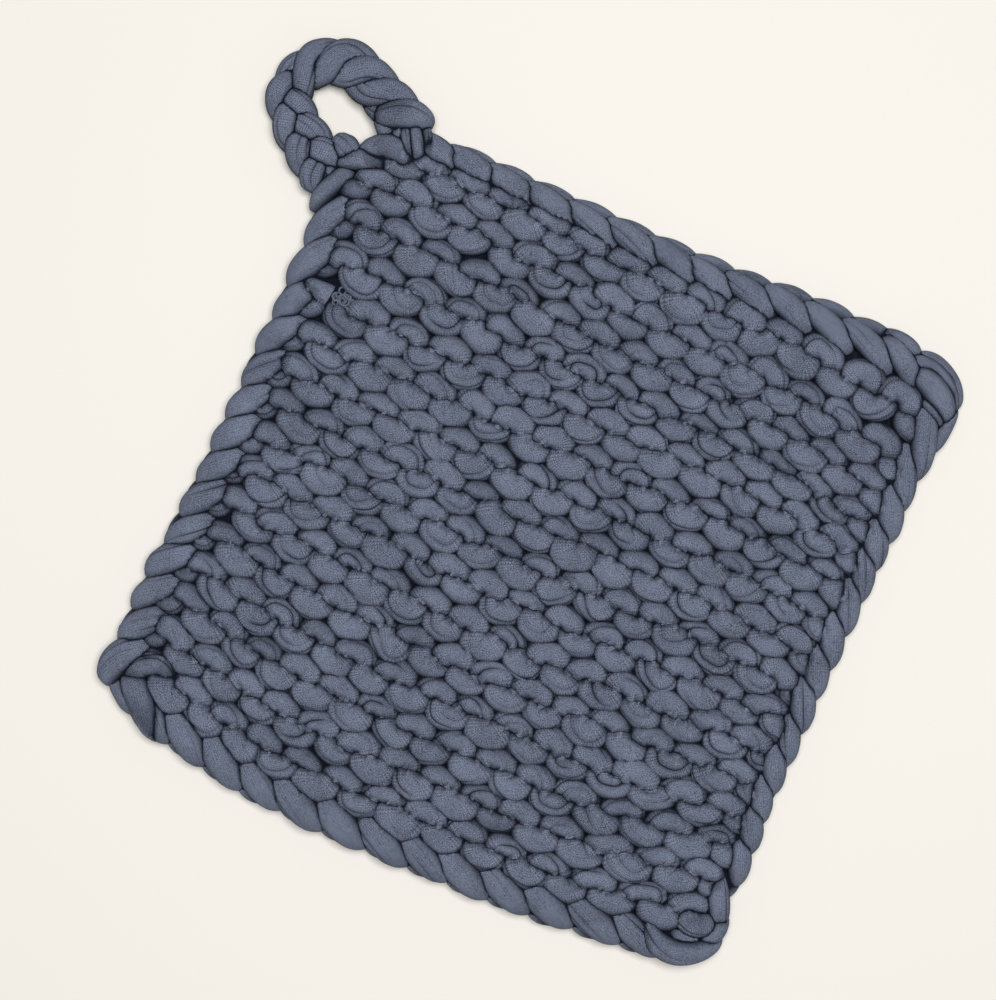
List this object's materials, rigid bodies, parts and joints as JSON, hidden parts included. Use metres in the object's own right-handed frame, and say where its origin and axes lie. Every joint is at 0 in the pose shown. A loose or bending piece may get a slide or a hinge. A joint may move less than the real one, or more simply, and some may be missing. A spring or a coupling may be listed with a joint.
{
  "type": "knitted pot holder",
  "caption": "Square pot holder knitted in garter stitch from thick jersey yarn, with a chain edge and a corded hanging loop at one corner.",
  "frame": {"origin": "centre of the pad's underside, on the flat face it rests on", "axes": "+Z out of the upper face, +Y to the pad's top edge across its ridges, +X along the ridges; the loop is at the corner towards -X and +Y"},
  "size_m": [0.2486, 0.243, 0.0135],
  "materials": {
    "pad_yarn": "matt slate-blue jersey yarn with a fine knit grain",
    "loop_yarn": "matt slate-blue jersey yarn with a fine knit grain"
  },
  "bodies": {
    "root": {"knitted_body": "pad_yarn", "hanging_loop": "loop_yarn"}
  },
  "joints": []
}
